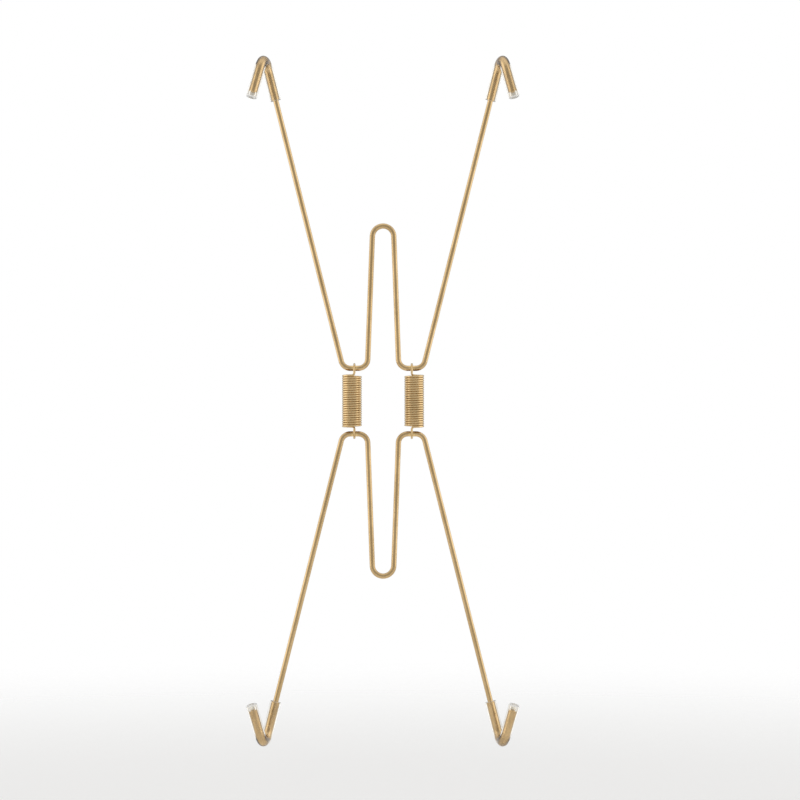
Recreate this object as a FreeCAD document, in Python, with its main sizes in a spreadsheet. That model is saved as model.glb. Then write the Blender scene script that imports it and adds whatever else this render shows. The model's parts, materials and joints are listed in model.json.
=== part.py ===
import FreeCAD, Part
import math
import os

from FreeCAD import Vector

# A wire plate hanger: two bent wires, each with two hooks, joined by two extension springs.
# Millimetres and degrees. +Z is up, the hooks open towards -Y, and the origin is the point
# on the underside of the upper wire's loop that bears on a nail.

# Driving sizes: name in the sheet, value, meaning
SIZES = [
    ("wire_dia", 2.0, "round wire of both halves"),
    ("hook_span", 87.0, "left arm to right arm at the top of the hooks, between wire centres"),
    ("arm_height", 113.75, "spring seat up to the top of the hook, between wire centres"),
    ("spring_spacing", 21.4, "left spring seat to right spring seat"),
    ("seat_length", 3.0, "straight run that a spring loop hangs on"),
    ("seat_bend", 3.5, "bend radius at both ends of a seat"),
    ("peak_height", 52.0, "spring seat up to the nail"),
    ("peak_bend", 4.0, "bend radius of the loop over the nail"),
    ("hook_bend", 4.5, "radius of the two bends of a hook"),
    ("hook_run", 2.3, "straight run between those bends"),
    ("hook_tip", 9.2, "straight front leg of a hook"),
    ("hook_splay", 6.0, "angle by which a hook turns outwards from straight ahead"),
    ("hook_flare", 12.5, "angle left out of the second bend, so that the front leg opens forwards"),
    ("wire_chamfer", 0.25, "burr taken off the cut end of a wire"),
    ("sleeve_dia", 4.0, "outside of the clear sleeve"),
    ("sleeve_fit", 0.05, "radial clearance between sleeve and wire"),
    ("sleeve_overhang", 2.0, "sleeve past the cut end of the wire"),
    ("sleeve_tail", 10.0, "sleeve down the arm behind the hook"),
    ("sleeve_chamfer", 0.4, "eased outer edge at the sleeve's front end"),
    ("spring_wire", 0.8, "spring wire, over its corners"),
    ("spring_coil", 6.6, "coil diameter, between wire centres"),
    ("spring_turns", 22.0, "whole turns, to which half a turn is added"),
    ("coil_gap", 0.05, "gap between one turn and the next"),
    ("loop_bend", 0.9, "bend that turns a coil end up into its loop"),
    ("loop_fit", 0.15, "clearance between a spring loop and its seat"),
]

# Worked sizes: name and the expression that gives it
WORKED = [
    ("wire_r", "Sizes.wire_dia / 2"),
    ("sleeve_r", "Sizes.sleeve_dia / 2"),
    ("bore_r", "wire_r + Sizes.sleeve_fit"),
    ("seat_x", "Sizes.spring_spacing / 2"),
    # the arm is the tangent from the top of the hook to the outer bend of the seat
    ("arm_dx", "Sizes.hook_span / 2 - seat_x - Sizes.seat_length / 2"),
    ("arm_dz", "Sizes.arm_height - Sizes.seat_bend"),
    ("arm_reach", "sqrt(arm_dx^2 + arm_dz^2)"),
    ("arm_lean", "(atan(arm_dx / arm_dz) - asin(Sizes.seat_bend / arm_reach)) / 1deg"),
    ("arm_length", "sqrt(arm_reach^2 - Sizes.seat_bend^2) - Sizes.hook_bend"),
    # the strand is the crossing tangent from the seat's inner bend to the bend over the nail
    ("strand_dx", "seat_x - Sizes.seat_length / 2"),
    ("strand_dz", "Sizes.peak_height - Sizes.peak_bend + wire_r - Sizes.seat_bend"),
    ("strand_reach", "sqrt(strand_dx^2 + strand_dz^2)"),
    ("bend_sum", "Sizes.seat_bend + Sizes.peak_bend"),
    ("strand_lean", "(atan(strand_dx / strand_dz) - asin(bend_sum / strand_reach)) / 1deg"),
    ("strand_length", "sqrt(strand_reach^2 - bend_sum^2)"),
    # the springs set how far apart the two wires stand
    ("turns", "floor(Sizes.spring_turns) + 0.5"),
    ("coil_r", "Sizes.spring_coil / 2"),
    ("coil_height", "turns * (Sizes.spring_wire + Sizes.coil_gap)"),
    ("loop_inside", "Sizes.loop_bend + coil_r - Sizes.spring_wire / 2"),
    ("seat_gap", "coil_height + 2 * (loop_inside - Sizes.loop_fit - wire_r)"),
    ("middle_z", "-Sizes.peak_height - seat_gap / 2"),
]

# Faces of a spring: the coil is a chain of straight chords with a six-sided section
CHORDS_PER_TURN = 16
CHORDS_PER_BEND = 3
CHORDS_PER_LOOP = 10
SPRING_SIDES = 6

SAME_WAY = "rotation(vector(0; 0; 1); 0)"
RING_START = "rotation(vector(0; 1; 1); 180)"

doc = FreeCAD.newDocument("plate_hanger")


def make_sheet():
    sheet = doc.addObject("Spreadsheet::Sheet", "Sizes")
    for row, (name, value, meaning) in enumerate(SIZES, start=1):
        sheet.set(f"A{row}", name)
        sheet.set(f"B{row}", str(value))
        sheet.setAlias(f"B{row}", name)
        sheet.set(f"C{row}", meaning)
    doc.recompute()
    return sheet


def make_worked():
    worked = doc.addObject("App::VarSet", "Worked")
    for name, expression in WORKED:
        worked.addProperty("App::PropertyFloat", name)
        worked.setExpression(name, expression)
    doc.recompute()
    return worked


# Bent wire: runs and bends laid end to end, each in the frame where the one before it stops.
# A frame's Z is the way the wire runs, and a bend turns it towards the frame's X.

def rolled(frame, roll):
    return f"{frame} * placement(vector(0; 0; 0); rotation(vector(0; 0; 1); {roll}))"


def moved_on(frame, length):
    return f"{frame} * placement(vector(0; 0; {length}); {SAME_WAY})"


def end_of(piece):
    name = piece.Name
    if piece.TypeId != "Part::Torus":
        return moved_on(f"{name}.Placement", f"{name}.Height")
    swung = rolled(f"{name}.Placement", f"{name}.Angle3")
    return f"{swung} * placement(vector({name}.Radius1; 0; 0); {RING_START})"


def run(name, frame, length, radius):
    piece = doc.addObject("Part::Cylinder", name)
    piece.setExpression("Radius", radius)
    piece.setExpression("Height", length)
    piece.setExpression("Placement", frame)
    return piece


def bend(name, frame, turn, bend_radius, radius):
    piece = doc.addObject("Part::Torus", name)
    piece.setExpression("Radius1", bend_radius)
    piece.setExpression("Radius2", radius)
    piece.setExpression("Angle3", turn)
    piece.setExpression("Placement", f"{frame} * placement(vector({bend_radius}; 0; 0); {RING_START})")
    return piece


def cut_end(name, frame, chamfer, radius):
    piece = doc.addObject("Part::Cone", name)
    piece.setExpression("Radius1", radius)
    piece.setExpression("Radius2", f"{radius} - {chamfer}")
    piece.setExpression("Height", chamfer)
    piece.setExpression("Placement", frame)
    return piece


def joined(name, pieces):
    whole = doc.addObject("Part::MultiFuse", name)
    whole.Shapes = pieces
    whole.Refine = True
    return whole


# A round bar along a hook. `start` is the frame on the arm where the first bend begins, and the bar
# runs from `tail` before that frame to `tip` past the last bend.

def hook_runs(name, start, side, tail, tip, radius):
    back = run(f"{name}_back", moved_on(start, f"-({tail})"), tail, radius)
    ahead = rolled(end_of(back), f"{side} * (90 + Sizes.hook_splay)")
    over = bend(f"{name}_over", ahead, "90", "Sizes.hook_bend", radius)
    across = run(f"{name}_across", end_of(over), "Sizes.hook_run", radius)
    lean = rolled(end_of(across), f"{2 * side} * Worked.arm_lean")
    down = bend(f"{name}_down", lean, "90 - Sizes.hook_flare", "Sizes.hook_bend", radius)
    front = run(f"{name}_front", end_of(down), tip, radius)
    return [back, over, across, down, front]


# Half of a bent wire, from the middle of its peak out to one hook. `side` is 1 for the half whose
# hook bends to the left of the wire's way, and -1 for its mirror image.

def half_wire(name, peak, side):
    radius = "Worked.wire_r"
    crown = bend(f"{name}_crown", peak, "90 - Worked.strand_lean", "Sizes.peak_bend", radius)
    strand = run(f"{name}_strand", end_of(crown), "Worked.strand_length", radius)
    seat_in = bend(f"{name}_seat_in", rolled(end_of(strand), 180), "90 - Worked.strand_lean",
                   "Sizes.seat_bend", radius)
    seat = run(f"{name}_seat", end_of(seat_in), "Sizes.seat_length", radius)
    seat_out = bend(f"{name}_seat_out", end_of(seat), "90 - Worked.arm_lean", "Sizes.seat_bend", radius)
    hook_start = moved_on(end_of(seat_out), "Worked.arm_length")
    hook = hook_runs(f"{name}_hook", hook_start, side, "Worked.arm_length",
                     "Sizes.hook_tip - Sizes.wire_chamfer", radius)
    tip = cut_end(f"{name}_tip", end_of(hook[-1]), "Sizes.wire_chamfer", radius)
    return [crown, strand, seat_in, seat, seat_out, *hook, tip], end_of(hook[0])


def sleeve(name, hook_start, side):
    tip = "Sizes.hook_tip + Sizes.sleeve_overhang"
    jacket = hook_runs(f"{name}_jacket", hook_start, side, "Sizes.sleeve_tail",
                       f"{tip} - Sizes.sleeve_chamfer", "Worked.sleeve_r")
    jacket.append(cut_end(f"{name}_lip", end_of(jacket[-1]), "Sizes.sleeve_chamfer", "Worked.sleeve_r"))
    bore = hook_runs(f"{name}_bore", hook_start, side, "Sizes.sleeve_tail", tip, "Worked.bore_r")
    tube = doc.addObject("Part::Cut", name)
    tube.Base = joined(f"{name}_outside", jacket)
    tube.Tool = joined(f"{name}_inside", bore)
    return tube


# A whole wire and its two sleeves. `turned` is the frame that carries the half: the lower one is the
# upper one turned over about the middle of the hanger.

def hanger_half(name, turned, sleeve_names):
    pieces = []
    sleeves = []
    for side, sleeve_name in zip((1, -1), sleeve_names):
        heading = f"rotation(vector(0; 0; 1); {90 * (1 - side)})"
        peak = (f"{turned} * placement(vector(0; 0; Worked.wire_r); {heading})"
                " * placement(vector(0; 0; 0); rotation(vector(0; 1; 0); 90))")
        half, hook_start = half_wire(f"{name}_{'a' if side == 1 else 'b'}", peak, side)
        pieces += half
        sleeves.append(sleeve(sleeve_name, hook_start, side))
    return [joined(f"{name}_wire", pieces), *sleeves]


# Spring path, with the axis along Z and its middle at zero: the coil, and at its top the bend and the
# half loop. The bottom end is the top end turned over about Y.

def spring_path(sizes):
    radius = sizes.coil_r
    top = sizes.coil_height / 2
    corner = sheet.loop_bend
    steps = round(sizes.turns * CHORDS_PER_TURN)
    coil = []
    for step in range(steps + 1):
        angle = 2 * math.pi * sizes.turns * (step / steps - 0.5)
        height = sizes.coil_height * (step / steps - 0.5)
        coil.append(Vector(-radius * math.sin(angle), radius * math.cos(angle), height))
    end = []
    for step in range(1, CHORDS_PER_BEND + 1):
        angle = math.pi / 2 * step / CHORDS_PER_BEND
        end.append(Vector(-radius, -corner * math.sin(angle), top + corner * (1 - math.cos(angle))))
    for step in range(1, CHORDS_PER_LOOP + 1):
        angle = math.pi * step / CHORDS_PER_LOOP
        end.append(Vector(-radius * math.cos(angle), -corner, top + corner + radius * math.sin(angle)))
    start = [Vector(-point.x, point.y, -point.z) for point in reversed(end)]
    return start + coil + end


# Rings of corners along the path: each ring is the one before it, carried along the chord to the
# plane that halves the angle to the next chord, so that every face of the spring is flat.

def spring_rings(path, radius):
    ways = [(after - before).normalize() for before, after in zip(path, path[1:])]
    across = ways[0].cross(Vector(0, 1, 0)).normalize()
    beside = ways[0].cross(across)
    ring = []
    for corner in range(SPRING_SIDES):
        angle = 2 * math.pi * corner / SPRING_SIDES
        ring.append(path[0] + across * (radius * math.cos(angle)) + beside * (radius * math.sin(angle)))
    rings = [ring]
    for index, way in enumerate(ways):
        onward = ways[min(index + 1, len(ways) - 1)]
        mitre = way + onward
        reached = path[index + 1]
        ring = [point + way * ((reached - point).dot(mitre) / way.dot(mitre)) for point in ring]
        rings.append(ring)
    return rings


def spring_solid(sizes):
    rings = spring_rings(spring_path(sizes), sheet.spring_wire / 2)
    faces = [Part.Face(Part.makePolygon([*ring, ring[0]])) for ring in (rings[0], rings[-1])]
    for ring, onward in zip(rings, rings[1:]):
        for corner in range(SPRING_SIDES):
            beside = (corner + 1) % SPRING_SIDES
            outline = [ring[corner], ring[beside], onward[beside], onward[corner], ring[corner]]
            faces.append(Part.Face(Part.makePolygon(outline)))
    shell = Part.makeShell(faces)
    shell.sewShape()
    solid = Part.makeSolid(Part.Shell(shell.Faces))
    if solid.Volume < 0:
        solid.reverse()
    return solid


# `side` is 1 on the right and -1 on the left. The loops stand on the seat, so the coil beside them
# stands outwards by the bend that makes them.

def spring(name, side, solid):
    piece = doc.addObject("Part::Feature", name)
    piece.Shape = solid
    place = f"vector({side} * (Worked.seat_x + Sizes.loop_bend); 0; Worked.middle_z)"
    piece.setExpression("Placement", f"placement({place}; rotation(vector(0; 0; 1); {-90 * side}))")
    return piece


sheet = make_sheet()
worked = make_worked()

upright = f"placement(vector(0; 0; 0); {SAME_WAY})"
turned_over = "placement(vector(0; 0; 2 * Worked.middle_z); rotation(vector(0; 1; 0); 180))"
spring_shape = spring_solid(worked)
sub_parts = [
    *hanger_half("upper", upright, ("upper_right_sleeve", "upper_left_sleeve")),
    *hanger_half("lower", turned_over, ("lower_left_sleeve", "lower_right_sleeve")),
    spring("left_spring", -1, spring_shape),
    spring("right_spring", 1, spring_shape),
]
doc.recompute()

for item in doc.Objects:
    if {"Invalid", "Error"} & set(item.State):
        raise RuntimeError(f"{item.Name} did not build: {item.State}")
for piece in sub_parts:
    if piece.Shape.isNull() or not piece.Shape.isValid() or len(piece.Shape.Solids) != 1:
        raise RuntimeError(f"{piece.Label} is not one sound solid")

os.makedirs("parts", exist_ok=True)
for piece in sub_parts:
    piece.Shape.exportStep(f"parts/{piece.Label}.step")
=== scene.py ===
import json
import math

import bmesh
import bpy
from mathutils import Matrix, Quaternion, Vector


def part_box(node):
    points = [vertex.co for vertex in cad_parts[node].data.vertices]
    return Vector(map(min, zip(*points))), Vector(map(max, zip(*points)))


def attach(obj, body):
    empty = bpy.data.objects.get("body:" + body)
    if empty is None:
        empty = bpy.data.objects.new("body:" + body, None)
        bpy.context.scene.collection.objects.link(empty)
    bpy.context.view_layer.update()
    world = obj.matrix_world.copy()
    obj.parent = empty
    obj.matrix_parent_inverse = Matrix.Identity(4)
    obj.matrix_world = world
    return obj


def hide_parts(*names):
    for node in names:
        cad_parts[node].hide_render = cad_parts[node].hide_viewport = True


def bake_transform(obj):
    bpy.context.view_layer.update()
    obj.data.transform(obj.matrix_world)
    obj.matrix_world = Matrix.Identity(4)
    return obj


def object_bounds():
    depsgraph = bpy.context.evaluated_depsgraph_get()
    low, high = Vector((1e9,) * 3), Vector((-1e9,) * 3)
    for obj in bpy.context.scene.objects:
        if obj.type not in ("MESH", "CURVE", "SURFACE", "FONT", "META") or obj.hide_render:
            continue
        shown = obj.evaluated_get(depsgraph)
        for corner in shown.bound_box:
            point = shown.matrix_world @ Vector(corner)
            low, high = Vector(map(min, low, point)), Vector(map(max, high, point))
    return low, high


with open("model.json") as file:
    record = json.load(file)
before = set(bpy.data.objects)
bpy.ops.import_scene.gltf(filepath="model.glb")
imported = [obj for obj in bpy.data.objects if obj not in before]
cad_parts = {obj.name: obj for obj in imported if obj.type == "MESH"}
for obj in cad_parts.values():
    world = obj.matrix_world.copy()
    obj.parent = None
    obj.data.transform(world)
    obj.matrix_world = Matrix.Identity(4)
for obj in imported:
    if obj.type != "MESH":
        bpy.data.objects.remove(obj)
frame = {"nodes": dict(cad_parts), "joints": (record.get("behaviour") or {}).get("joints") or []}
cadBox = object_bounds()
jointPlaces = {joint["name"]: joint for joint in frame["joints"]}
hangerMiddle = (cadBox[0][2] + cadBox[1][2]) / 2  # both wires are alike about this height


# small helpers for node trees

def addNode(tree, kind, place=(0, 0), **settings):
    node = tree.nodes.new(kind)
    node.location = place
    for key, value in settings.items():
        setattr(node, key, value)
    return node


def setInputs(node, values):
    for label, value in values.items():
        node.inputs[label].default_value = value


def newGroup(name, inputs, outputs):
    group = bpy.data.node_groups.new(name, "ShaderNodeTree")
    for label, kind in inputs:
        group.interface.new_socket(name=label, in_out="INPUT", socket_type=kind)
    for label, kind in outputs:
        group.interface.new_socket(name=label, in_out="OUTPUT", socket_type=kind)
    start = addNode(group, "NodeGroupInput", (-1200, 0))
    end = addNode(group, "NodeGroupOutput", (900, 0))
    return group, start, end


def placeGroup(tree, group, place, values):
    node = addNode(tree, "ShaderNodeGroup", place, node_tree=group)
    setInputs(node, values)
    return node


def noise(tree, vector, use, mark, place):
    node = addNode(tree, "ShaderNodeTexNoise", place)
    setInputs(node, {"Scale": use[f"{mark}Scale"], "Detail": use[f"{mark}Detail"], "Roughness": use[f"{mark}Grit"]})
    tree.links.new(vector, node.inputs["Vector"])
    return node.outputs["Fac"]


def span(tree, value, low, high, toLow, toHigh, place, easing="SMOOTHSTEP"):
    node = addNode(tree, "ShaderNodeMapRange", place, interpolation_type=easing)
    setInputs(node, {"From Min": low, "From Max": high, "To Min": toLow, "To Max": toHigh})
    tree.links.new(value, node.inputs["Value"])
    return node.outputs["Result"]


def mathNode(tree, operation, place, *values, kind="ShaderNodeMath"):
    node = addNode(tree, kind, place, operation=operation)
    for socket, value in zip(node.inputs, values):
        if isinstance(value, bpy.types.NodeSocket):
            tree.links.new(value, socket)
        else:
            socket.default_value = value
    return node.outputs


def mixColor(tree, factor, first, second, place):
    node = addNode(tree, "ShaderNodeMix", place, data_type="RGBA")
    tree.links.new(factor, node.inputs["Factor"])
    tree.links.new(first, node.inputs[6])
    tree.links.new(second, node.inputs[7])
    return node.outputs[2]


# shared effects: drawn metal for wire and springs, handling marks for metal and tube

drawnMetal = dict(streakScale=1700.0, streakDetail=3, streakGrit=0.6, streakStretch=0.12, streakLow=0.3,
                  streakHigh=0.7, streakTone=0.32, streakMatt=0.08, cloudScale=70.0, cloudDetail=5, cloudGrit=0.62,
                  cloudLow=0.4, cloudHigh=0.62, cloudMatt=0.16, speckScale=1500.0, speckDetail=2, speckGrit=0.5,
                  speckLow=0.68, speckHigh=0.78, speckTone=0.55)
handling = dict(filmScale=160.0, filmDetail=4, filmGrit=0.6, filmLow=0.42, filmHigh=0.72, scuffScale=900.0,
                scuffDetail=6, scuffGrit=0.7, scuffLow=0.56, scuffHigh=0.74, matt=0.25)
surfaceOutputs = [("Color", "NodeSocketColor"), ("Roughness", "NodeSocketFloat"), ("Height", "NodeSocketFloat")]


def makeDrawnMetal(use):
    group, start, end = newGroup(
        "drawnMetal",
        [("Bright", "NodeSocketColor"), ("Dull", "NodeSocketColor"), ("Pit", "NodeSocketColor"),
         ("Tarnish", "NodeSocketFloat"), ("Polish", "NodeSocketFloat")],
        surfaceOutputs)
    place = addNode(group, "ShaderNodeTexCoord", (-1200, 400)).outputs["Object"]
    stretch = addNode(group, "ShaderNodeMapping", (-1000, 400))
    setInputs(stretch, {"Scale": (1, 1, use["streakStretch"])})  # lines run lengthwise on the upright runs
    group.links.new(place, stretch.inputs["Vector"])
    streak = noise(group, stretch.outputs["Vector"], use, "streak", (-800, 400))
    cloud = noise(group, place, use, "cloud", (-800, 150))
    speck = noise(group, place, use, "speck", (-800, -100))
    cloudMask = span(group, cloud, use["cloudLow"], use["cloudHigh"], 0, 1, (-560, 150))
    tarnish = mathNode(group, "MULTIPLY", (-340, 150), cloudMask, start.outputs["Tarnish"])["Value"]
    pits = span(group, speck, use["speckLow"], use["speckHigh"], 0, use["speckTone"], (-560, -100))
    tone = mixColor(group, tarnish, start.outputs["Bright"], start.outputs["Dull"], (-100, 250))
    lines = span(group, streak, use["streakLow"], use["streakHigh"], 0, use["streakTone"], (-340, 420))
    lined = mixColor(group, lines, tone, start.outputs["Dull"], (120, 300))
    pitted = mixColor(group, pits, lined, start.outputs["Pit"], (340, 200))
    rough = mathNode(group, "MULTIPLY_ADD", (120, 0), tarnish, use["cloudMatt"], start.outputs["Polish"])["Value"]
    roughLined = mathNode(group, "MULTIPLY_ADD", (340, 0), streak, use["streakMatt"], rough)["Value"]
    height = mathNode(group, "SUBTRACT", (340, -200), streak, pits)["Value"]
    group.links.new(pitted, end.inputs["Color"])
    group.links.new(roughLined, end.inputs["Roughness"])
    group.links.new(height, end.inputs["Height"])
    return group


def makeHandlingMarks(use):
    group, start, end = newGroup(
        "handlingMarks",
        [("Clean", "NodeSocketColor"), ("Film", "NodeSocketColor"), ("Amount", "NodeSocketFloat"),
         ("Base Roughness", "NodeSocketFloat")],
        surfaceOutputs)
    place = addNode(group, "ShaderNodeTexCoord", (-1200, 300)).outputs["Object"]
    film = noise(group, place, use, "film", (-900, 200))
    scuff = noise(group, place, use, "scuff", (-900, -100))
    filmMask = span(group, film, use["filmLow"], use["filmHigh"], 0, 1, (-640, 200))
    scuffMask = span(group, scuff, use["scuffLow"], use["scuffHigh"], 0, 1, (-640, -100))
    marks = mathNode(group, "MAXIMUM", (-400, 60), filmMask, scuffMask)["Value"]
    amount = mathNode(group, "MULTIPLY", (-200, 60), marks, start.outputs["Amount"])["Value"]
    color = mixColor(group, amount, start.outputs["Clean"], start.outputs["Film"], (60, 200))
    rough = mathNode(group, "MULTIPLY_ADD", (60, -60), amount, use["matt"], start.outputs["Base Roughness"])["Value"]
    group.links.new(color, end.inputs["Color"])
    group.links.new(rough, end.inputs["Roughness"])
    group.links.new(film, end.inputs["Height"])
    return group


metalGroup = makeDrawnMetal(drawnMetal)
marksGroup = makeHandlingMarks(handling)


def newMaterial(name):
    material = bpy.data.materials.new(name)
    material.use_nodes = True
    tree = material.node_tree
    return material, tree, tree.nodes["Principled BSDF"]


def bumpInto(tree, shader, height, strength, distance):
    bump = addNode(tree, "ShaderNodeBump", (-260, -320))
    setInputs(bump, {"Strength": strength, "Distance": distance})
    tree.links.new(height, bump.inputs["Height"])
    tree.links.new(bump.outputs["Normal"], shader.inputs["Normal"])


# bent brass wire, both halves: the solids are the real form, so only their finish is made here

brassWire = dict(bright=(0.72, 0.515, 0.27, 1), dull=(0.52, 0.36, 0.175, 1), pit=(0.18, 0.11, 0.05, 1),
                 film=(0.46, 0.335, 0.18, 1), tarnish=0.6, polish=0.12, marks=0.3, bump=0.14, bumpDepth=0.00003,
                 seatSide=0.0107, rubStart=0.0011, rubEnd=0.0019, rubTone=(0.86, 0.63, 0.30, 1), rubAmount=0.8,
                 rubPolish=0.55)


def makeBrass(name, use):
    material, tree, shader = newMaterial(name)
    metal = placeGroup(tree, metalGroup, (-860, 60), {
        "Bright": use["bright"], "Dull": use["dull"], "Pit": use["pit"], "Tarnish": use["tarnish"],
        "Polish": use["polish"]})
    marks = placeGroup(tree, marksGroup, (-560, 60), {"Film": use["film"], "Amount": use["marks"]})
    setInputs(shader, {"Metallic": 1.0})
    tree.links.new(metal.outputs["Color"], marks.inputs["Clean"])
    tree.links.new(metal.outputs["Roughness"], marks.inputs["Base Roughness"])
    tree.links.new(marks.outputs["Color"], shader.inputs["Base Color"])
    tree.links.new(marks.outputs["Roughness"], shader.inputs["Roughness"])
    bumpInto(tree, shader, metal.outputs["Height"], use["bump"], use["bumpDepth"])
    return material


def rubSeats(material, use):  # a spring loop works its seat bright
    tree = material.node_tree
    shader = tree.nodes["Principled BSDF"]
    plainColor = shader.inputs["Base Color"].links[0].from_socket
    plainRough = shader.inputs["Roughness"].links[0].from_socket
    seatHeight = jointPlaces["spring_swing"]["pos_m"][2]
    seat = (use["seatSide"], 0, seatHeight - hangerMiddle)
    place = addNode(tree, "ShaderNodeTexCoord", (-1500, 400)).outputs["Object"]
    vectorMath = "ShaderNodeVectorMath"
    level = mathNode(tree, "SUBTRACT", (-1300, 400), place, (0, 0, hangerMiddle), kind=vectorMath)["Vector"]
    folded = mathNode(tree, "ABSOLUTE", (-1100, 400), level, kind=vectorMath)["Vector"]  # one seat for all four
    reach = mathNode(tree, "DISTANCE", (-900, 400), folded, seat, kind=vectorMath)["Value"]
    rub = span(tree, reach, use["rubStart"], use["rubEnd"], use["rubAmount"], 0, (-700, 400))
    tone = addNode(tree, "ShaderNodeRGB", (-560, 620)).outputs["Color"]
    tone.default_value = use["rubTone"]
    tree.links.new(mixColor(tree, rub, plainColor, tone, (-240, 400)), shader.inputs["Base Color"])
    kept = span(tree, rub, 0, 1, 1, use["rubPolish"], (-460, 200))
    tree.links.new(mathNode(tree, "MULTIPLY", (-240, 160), plainRough, kept)["Value"], shader.inputs["Roughness"])


def finishNode(name, material):
    data = frame["nodes"][name].data
    data.materials.clear()
    data.materials.append(material)


satinBrass = makeBrass("satinBrassWire", brassWire)
rubSeats(satinBrass, brassWire)
for wireName in ("upper_wire", "lower_wire"):
    finishNode(wireName, satinBrass)
print("wires finished")


# a tube along a route: rings of corners, turned as little as possible from one to the next

def addPiece(name, data):
    piece = bpy.data.objects.new(name, data)
    bpy.context.scene.collection.objects.link(piece)
    return piece


def routeFrames(route):
    ways = []
    for index, point in enumerate(route):
        before = route[max(index - 1, 0)]
        after = route[min(index + 1, len(route) - 1)]
        ways.append((after - before).normalized())
    side = ways[0].orthogonal().normalized()
    frames = [(ways[0], side)]
    for before, way in zip(ways, ways[1:]):
        side = before.rotation_difference(way) @ side
        side = (side - way * side.dot(way)).normalized()
        frames.append((way, side))
    return frames


def ringAt(point, way, side, radius, corners):
    ring = []
    for corner in range(corners):
        turn = Quaternion(way, 2 * math.pi * corner / corners)
        ring.append(point + turn @ (side * radius))
    return ring


def tubeFromRings(name, rings, sharpAngle):  # the last ring meets the first, so the wall has no open edge
    corners = len(rings[0])
    points = [point for ring in rings for point in ring]
    faces = []
    for index in range(len(rings)):
        here = index * corners
        there = (index + 1) % len(rings) * corners
        for corner in range(corners):
            beside = (corner + 1) % corners
            faces.append((here + corner, here + beside, there + beside, there + corner))
    data = bpy.data.meshes.new(name)
    data.from_pydata(points, [], faces)
    work = bmesh.new()
    work.from_mesh(data)
    bmesh.ops.recalc_face_normals(work, faces=work.faces)
    work.to_mesh(data)
    work.free()
    data.shade_smooth()
    data.set_sharp_from_angle(angle=sharpAngle)
    return addPiece(name, data)


# extension springs: closed coil, a quarter bend at each end and a half loop over the wire's seat

coilSpring = dict(wire=0.0008, coil=0.0066, turns=22.5, pitch=0.00085, loopBend=0.0009, perTurn=36, perBend=6,
                  perLoop=20, corners=12, bright=(0.76, 0.56, 0.30, 1), dull=(0.56, 0.40, 0.20, 1),
                  pit=(0.20, 0.13, 0.06, 1), film=(0.48, 0.35, 0.19, 1), tarnish=0.4, polish=0.11, marks=0.2,
                  bump=0.06, bumpDepth=0.00002)


def springRoute(use):
    radius = use["coil"] / 2
    height = use["turns"] * use["pitch"]
    corner = use["loopBend"]
    steps = round(use["turns"] * use["perTurn"])
    coil = []
    for step in range(steps + 1):
        share = step / steps - 0.5
        angle = 2 * math.pi * use["turns"] * share
        coil.append(Vector((-radius * math.sin(angle), radius * math.cos(angle), height * share)))
    end = []
    for step in range(1, use["perBend"] + 1):
        angle = math.pi / 2 * step / use["perBend"]
        rise = corner * (1 - math.cos(angle))
        end.append(Vector((-radius, -corner * math.sin(angle), height / 2 + rise)))
    for step in range(1, use["perLoop"] + 1):
        angle = math.pi * step / use["perLoop"]
        rise = corner + radius * math.sin(angle)
        end.append(Vector((-radius * math.cos(angle), -corner, height / 2 + rise)))
    start = [Vector((-point.x, point.y, -point.z)) for point in reversed(end)]
    return start + coil + end


def makeRoundSpringWire(material, use):  # gives a coil's centre line its round wire, also when the coil is drawn out
    group = bpy.data.node_groups.new("roundSpringWire", "GeometryNodeTree")
    group.interface.new_socket(name="Line", in_out="INPUT", socket_type="NodeSocketGeometry")
    group.interface.new_socket(name="Wire", in_out="OUTPUT", socket_type="NodeSocketGeometry")
    start = addNode(group, "NodeGroupInput", (-600, 0))
    end = addNode(group, "NodeGroupOutput", (600, 0))
    line = addNode(group, "GeometryNodeMeshToCurve", (-400, 0))
    section = addNode(group, "GeometryNodeCurvePrimitiveCircle", (-400, -200))
    setInputs(section, {"Resolution": use["corners"], "Radius": use["wire"] / 2})
    wire = addNode(group, "GeometryNodeCurveToMesh", (-160, 0))
    setInputs(wire, {"Fill Caps": True})
    finished = addNode(group, "GeometryNodeSetMaterial", (160, 0))
    setInputs(finished, {"Material": material})
    group.links.new(start.outputs["Line"], line.inputs["Mesh"])
    group.links.new(line.outputs["Curve"], wire.inputs["Curve"])
    group.links.new(section.outputs["Curve"], wire.inputs["Profile Curve"])
    group.links.new(wire.outputs["Mesh"], finished.inputs["Geometry"])
    group.links.new(finished.outputs["Geometry"], end.inputs["Wire"])
    return group


def makeSpring(name, side, material, roundWire, use):
    low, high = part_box(name)
    axis = (low.x + high.x) / 2
    turned = Matrix.Translation((axis, 0, hangerMiddle)) @ Matrix.Rotation(-side * math.pi / 2, 4, "Z")
    route = [turned @ point for point in springRoute(use)]
    pieceName = f"{name}_coil"
    data = bpy.data.meshes.new(pieceName)
    data.from_pydata(route, [(index, index + 1) for index in range(len(route) - 1)], [])
    data.materials.append(material)
    piece = addPiece(pieceName, data)
    piece.modifiers.new("roundSpringWire", "NODES").node_group = roundWire
    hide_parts(name)
    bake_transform(piece)


springBrass = makeBrass("brightSpringWire", coilSpring)
roundSpringWire = makeRoundSpringWire(springBrass, coilSpring)
for springName, springSide in (("left_spring", -1), ("right_spring", 1)):
    makeSpring(springName, springSide, springBrass, roundSpringWire, coilSpring)
print("springs wound")


# clear sleeves: soft tube along the hook, cut square at the back and eased at the open front end

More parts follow.
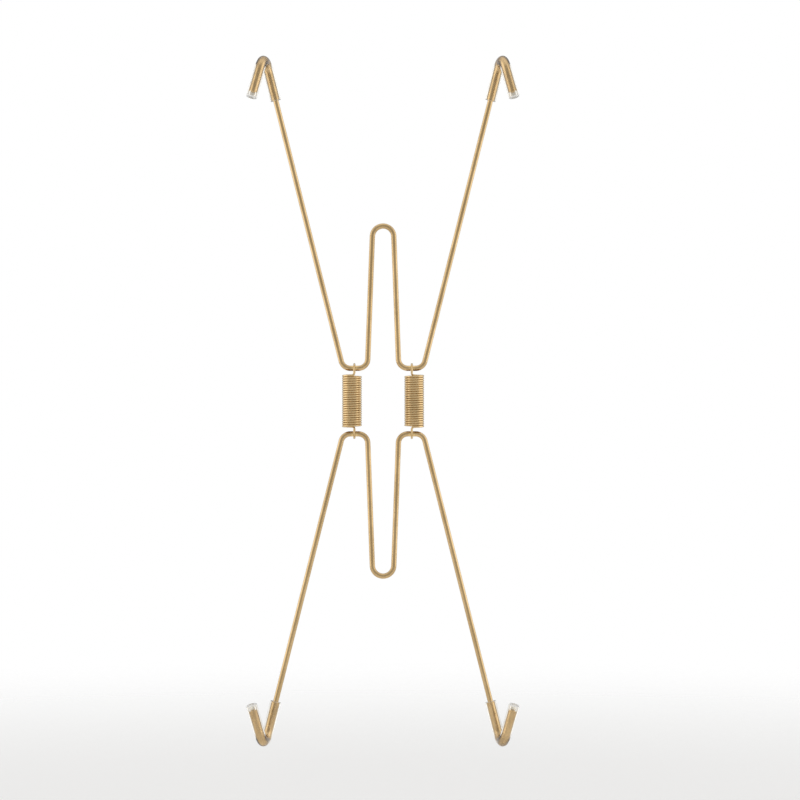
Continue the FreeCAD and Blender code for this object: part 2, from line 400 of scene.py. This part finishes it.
clearSleeve = dict(hookSpan=0.087, armTop=0.06175, lean=math.radians(14.099), splay=math.radians(6),
                   flare=math.radians(12.5), bend=0.0045, run=0.0023, tip=0.0092, overhang=0.002, tail=0.010,
                   outside=0.00198, bore=0.00105, contact=0.00095, ease=0.0004, backEase=0.0001, perBend=18,
                   perRun=6, perAcross=2, perOverhang=2, corners=32, easeSteps=4, sharpAngle=math.radians(38),
                   clean=(0.96, 0.93, 0.86, 1), film=(0.83, 0.785, 0.68, 1), marks=0.35, rough=0.045, clear=1.0,
                   ior=1.53, bump=0.04, bumpDepth=0.00003)
cutSleeveEnd = dict(clean=(0.93, 0.92, 0.89, 1), film=(0.85, 0.82, 0.76, 1), marks=0.3, rough=0.42, clear=0.35,
                    ior=1.53, bump=0.12, bumpDepth=0.00003)  # a blade leaves the end faces matt


def straight(start, end, steps):
    return [start.lerp(end, step / steps) for step in range(1, steps + 1)]


def hookRoute(apex, outward, upward, use):
    lean, splay, bend = use["lean"], use["splay"], use["bend"]
    alongArm = Vector((math.sin(lean) * outward, 0, math.cos(lean) * upward))
    aside = Vector((math.cos(lean) * outward, 0, -math.sin(lean) * upward))  # outwards, square to the arm
    ahead = Vector((0, -1, 0))
    across = ahead * math.cos(splay) + aside * math.sin(splay)
    besideAcross = aside * math.cos(splay) - ahead * math.sin(splay)
    # the front leg goes back down and outwards, leaning as much as the arm
    alongTip = besideAcross * math.sin(2 * lean) - alongArm * math.cos(2 * lean)
    backEnd = apex - alongArm * (bend + use["tail"])
    overStart = apex - alongArm * bend
    route = [backEnd] + straight(backEnd, overStart, use["perRun"])
    middle = overStart + across * bend
    for step in range(1, use["perBend"] + 1):
        angle = math.pi / 2 * step / use["perBend"]
        route.append(middle - across * (bend * math.cos(angle)) + alongArm * (bend * math.sin(angle)))
    acrossEnd = apex + across * (bend + use["run"])
    route += straight(route[-1], acrossEnd, use["perAcross"])
    middle = acrossEnd + alongTip * bend
    turn = math.pi / 2 - use["flare"]
    for step in range(1, use["perBend"] + 1):
        angle = turn * step / use["perBend"]
        route.append(middle - alongTip * (bend * math.cos(angle)) + across * (bend * math.sin(angle)))
    heading = alongTip * math.sin(turn) + across * math.cos(turn)
    route += straight(route[-1], route[-1] + heading * use["tip"], use["perRun"])
    return route + straight(route[-1], route[-1] + heading * use["overhang"], use["perOverhang"])


def makeSleeve(name, body, outward, upward, tubeMaterial, endMaterial, use):
    armTop = hangerMiddle + upward * (use["armTop"] - hangerMiddle)
    apex = Vector((outward * use["hookSpan"] / 2, 0, armTop))
    route = hookRoute(apex, outward, upward, use)
    stations = list(zip(route, routeFrames(route)))
    corners = use["corners"]
    outer = [ringAt(point, way, side, use["outside"], corners) for point, (way, side) in stations[1:-1]]
    wireEnd = len(stations) - use["perOverhang"]
    # the tube grips the wire, so nothing but metal shows inside it, and past the cut end its bore is open
    gripped = [ringAt(point, way, side, use["contact"], corners) for point, (way, side) in stations[:wireEnd]]
    free = [ringAt(point, way, side, use["bore"], corners) for point, (way, side) in stations[wireEnd - 1:]]
    inner = list(reversed(gripped + free))
    back, (backWay, backSide) = stations[0]
    tail = [ringAt(back, backWay, backSide, use["outside"] - use["backEase"], corners),
            ringAt(back + backWay * use["backEase"], backWay, backSide, use["outside"], corners)]
    front, (frontWay, frontSide) = stations[-1]
    lip = []
    for step in range(use["easeSteps"] + 1):  # quarter-round on the open end
        angle = math.pi / 2 * step / use["easeSteps"]
        inset = use["ease"] * (1 - math.cos(angle))
        short = use["ease"] * (1 - math.sin(angle))
        lip.append(ringAt(front - frontWay * short, frontWay, frontSide, use["outside"] - inset, corners))
    rings = tail + outer + lip + inner
    piece = tubeFromRings(f"{name}_tube", rings, use["sharpAngle"])
    piece.data.materials.append(tubeMaterial)
    piece.data.materials.append(endMaterial)
    frontFace = len(rings) - len(inner) - 1
    backFace = len(rings) - 1
    for band in (*range(frontFace - use["easeSteps"], frontFace + 1), backFace):  # lip, front face, back face
        for face in piece.data.polygons[band * corners:(band + 1) * corners]:
            face.material_index = 1
    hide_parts(name)
    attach(piece, body)


def makeClearTube(name, use):
    material, tree, shader = newMaterial(name)
    marks = placeGroup(tree, marksGroup, (-560, 60), {
        "Clean": use["clean"], "Film": use["film"], "Amount": use["marks"], "Base Roughness": use["rough"]})
    setInputs(shader, {"Metallic": 0.0, "Transmission Weight": use["clear"], "IOR": use["ior"]})
    tree.links.new(marks.outputs["Color"], shader.inputs["Base Color"])
    tree.links.new(marks.outputs["Roughness"], shader.inputs["Roughness"])
    bumpInto(tree, shader, marks.outputs["Height"], use["bump"], use["bumpDepth"])
    return material


clearTube = makeClearTube("clearTube", clearSleeve)
cutTubeEnd = makeClearTube("cutTubeEnd", cutSleeveEnd)
for bodyName, upward in (("upper", 1), ("lower", -1)):
    for sideName, outward in (("left", -1), ("right", 1)):
        makeSleeve(f"{bodyName}_{sideName}_sleeve", bodyName, outward, upward, clearTube, cutTubeEnd, clearSleeve)
print("sleeves fitted")


# studio: a pale floor that fades out, soft light from both sides and a camera straight in front

studio = dict(floorDrop=0.06, floorRadius=1.2, floorCorners=96, fadeStart=0.3, fadeEnd=0.95,
              floorTone=(0.9, 0.895, 0.885, 1), floorRough=0.7, cameraDistance=1.0, frameWidth=0.298,
              axisX=0.0063, axisRise=0.0004, sensor=36.0, backdrop=1.0, sideStart=0.6, sideEnd=0.95, sideGlow=0.7,
              topStart=0.4, topEnd=1.0, topGlow=0.2,
              tones=((-1.0, 0.5), (-0.6, 0.52), (-0.15, 0.86), (0.4, 0.82), (1.0, 0.5)))
softLights = [
    dict(name="leftSoftLight", place=(-0.9, -0.15, 0.0), width=0.5, height=1.0, power=0.5),
    dict(name="rightSoftLight", place=(0.9, -0.1, -0.02), width=0.5, height=1.0, power=0.4),
    dict(name="topSoftLight", place=(0.0, -0.25, 0.9), width=0.8, height=0.5, power=0.4),
]


def makeFloor(use):
    bpy.ops.mesh.primitive_circle_add(vertices=use["floorCorners"], radius=use["floorRadius"], fill_type="NGON",
                                      location=(0, 0, cadBox[0][2] - use["floorDrop"]))
    floor = bpy.context.object
    floor.name = "paleFloor"
    material, tree, shader = newMaterial("paleFloor")
    setInputs(shader, {"Base Color": use["floorTone"], "Roughness": use["floorRough"]})
    place = addNode(tree, "ShaderNodeTexCoord", (-800, -200)).outputs["Object"]
    reach = mathNode(tree, "LENGTH", (-600, -200), place, kind="ShaderNodeVectorMath")["Value"]
    fade = span(tree, reach, use["fadeStart"], use["fadeEnd"], 1, 0, (-400, -200))
    tree.links.new(fade, shader.inputs["Alpha"])
    floor.data.materials.append(material)


def makeWorld(use):
    world = bpy.data.worlds.new("softStudio")
    bpy.context.scene.world = world
    world.use_nodes = True
    tree = world.node_tree
    background = tree.nodes["Background"]
    way = addNode(tree, "ShaderNodeTexCoord", (-900, 0)).outputs["Generated"]
    parts = addNode(tree, "ShaderNodeSeparateXYZ", (-700, 0))
    tree.links.new(way, parts.inputs["Vector"])
    ramp = addNode(tree, "ShaderNodeValToRGB", (-300, 0))
    depth = span(tree, parts.outputs["Y"], -1, 1, 0, 1, (-500, 0), "LINEAR")
    tree.links.new(depth, ramp.inputs["Fac"])
    sideways = mathNode(tree, "ABSOLUTE", (-500, 500), parts.outputs["X"])["Value"]
    sideGlow = span(tree, sideways, use["sideStart"], use["sideEnd"], 0, use["sideGlow"], (-300, 500))
    topGlow = span(tree, parts.outputs["Z"], use["topStart"], use["topEnd"], 0, use["topGlow"], (-300, 760))
    glow = mathNode(tree, "ADD", (-100, 600), sideGlow, topGlow)["Value"]
    lit = mathNode(tree, "ADD", (-60, 200), ramp.outputs["Color"], glow, kind="ShaderNodeVectorMath")["Vector"]
    stops = ramp.color_ramp.elements
    while len(stops) < len(use["tones"]):
        stops.new(0.5)
    for stop, (position, tone) in zip(stops, use["tones"]):  # dim behind the camera, bright at the sides
        stop.position = (position + 1) / 2
        stop.color = (tone, tone, tone, 1)
    seen = addNode(tree, "ShaderNodeLightPath", (-300, 260)).outputs["Is Camera Ray"]
    plain = addNode(tree, "ShaderNodeRGB", (-300, -260)).outputs["Color"]
    plain.default_value = (use["backdrop"], use["backdrop"], use["backdrop"], 1)
    tree.links.new(mixColor(tree, seen, lit, plain, (150, 0)), background.inputs["Color"])


def aimed(place, target):
    return (Vector(target) - Vector(place)).to_track_quat("-Z", "Y").to_euler()


def makeLights(lights):
    for use in lights:
        data = bpy.data.lights.new(use["name"], "AREA")
        data.shape = "RECTANGLE"
        data.size = use["width"]
        data.size_y = use["height"]
        data.energy = use["power"]
        light = bpy.data.objects.new(use["name"], data)
        light.location = use["place"]
        light.rotation_euler = aimed(use["place"], (0, 0, hangerMiddle))
        light.visible_glossy = False  # the metal mirrors only the even surroundings
        light.visible_transmission = False
        bpy.context.scene.collection.objects.link(light)


def makeCamera(use):
    data = bpy.data.cameras.new("photoCamera")
    data.sensor_width = use["sensor"]
    data.lens = use["sensor"] * use["cameraDistance"] / use["frameWidth"]
    camera = bpy.data.objects.new("photoCamera", data)
    camera.location = (use["axisX"], -use["cameraDistance"], hangerMiddle + use["axisRise"])
    camera.rotation_euler = (math.pi / 2, 0, 0)
    bpy.context.scene.collection.objects.link(camera)
    bpy.context.scene.camera = camera


makeFloor(studio)
makeWorld(studio)
makeLights(softLights)
makeCamera(studio)
bpy.context.scene.view_settings.view_transform = "Standard"
print("studio ready")
